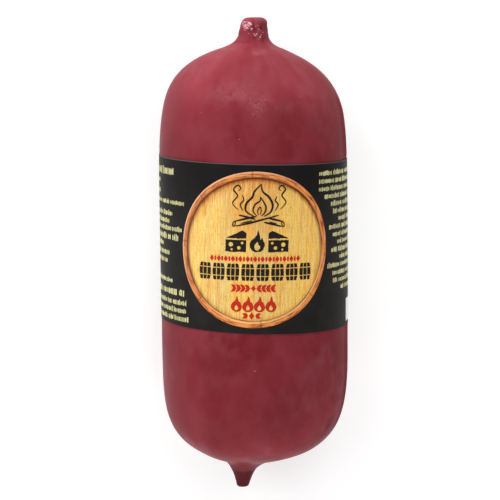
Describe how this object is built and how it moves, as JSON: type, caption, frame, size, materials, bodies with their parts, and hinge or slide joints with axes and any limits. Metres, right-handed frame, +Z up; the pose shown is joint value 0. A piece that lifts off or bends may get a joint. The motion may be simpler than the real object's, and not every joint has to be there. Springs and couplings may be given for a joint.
{
  "type": "smoked processed cheese",
  "caption": "Sausage-shaped loaf of smoked processed cheese in dark red wax, with a gathered stub at one end, a small tail at the other and a printed label wrapped round it.",
  "frame": {"origin": "under the middle of the loaf's bounding box, on the surface that it lies on", "axes": "+Z up, out of the printed side; +Y along the loaf towards its gathered stub; +X to the printed side's right"},
  "size_m": [0.0532, 0.1348, 0.0523],
  "materials": {
    "wax": "satin dark red cheese wax with a thin pale bloom",
    "label": "satin black printed paper"
  },
  "bodies": {
    "root": {"waxed_cheese": "wax", "label": "label"}
  },
  "joints": []
}
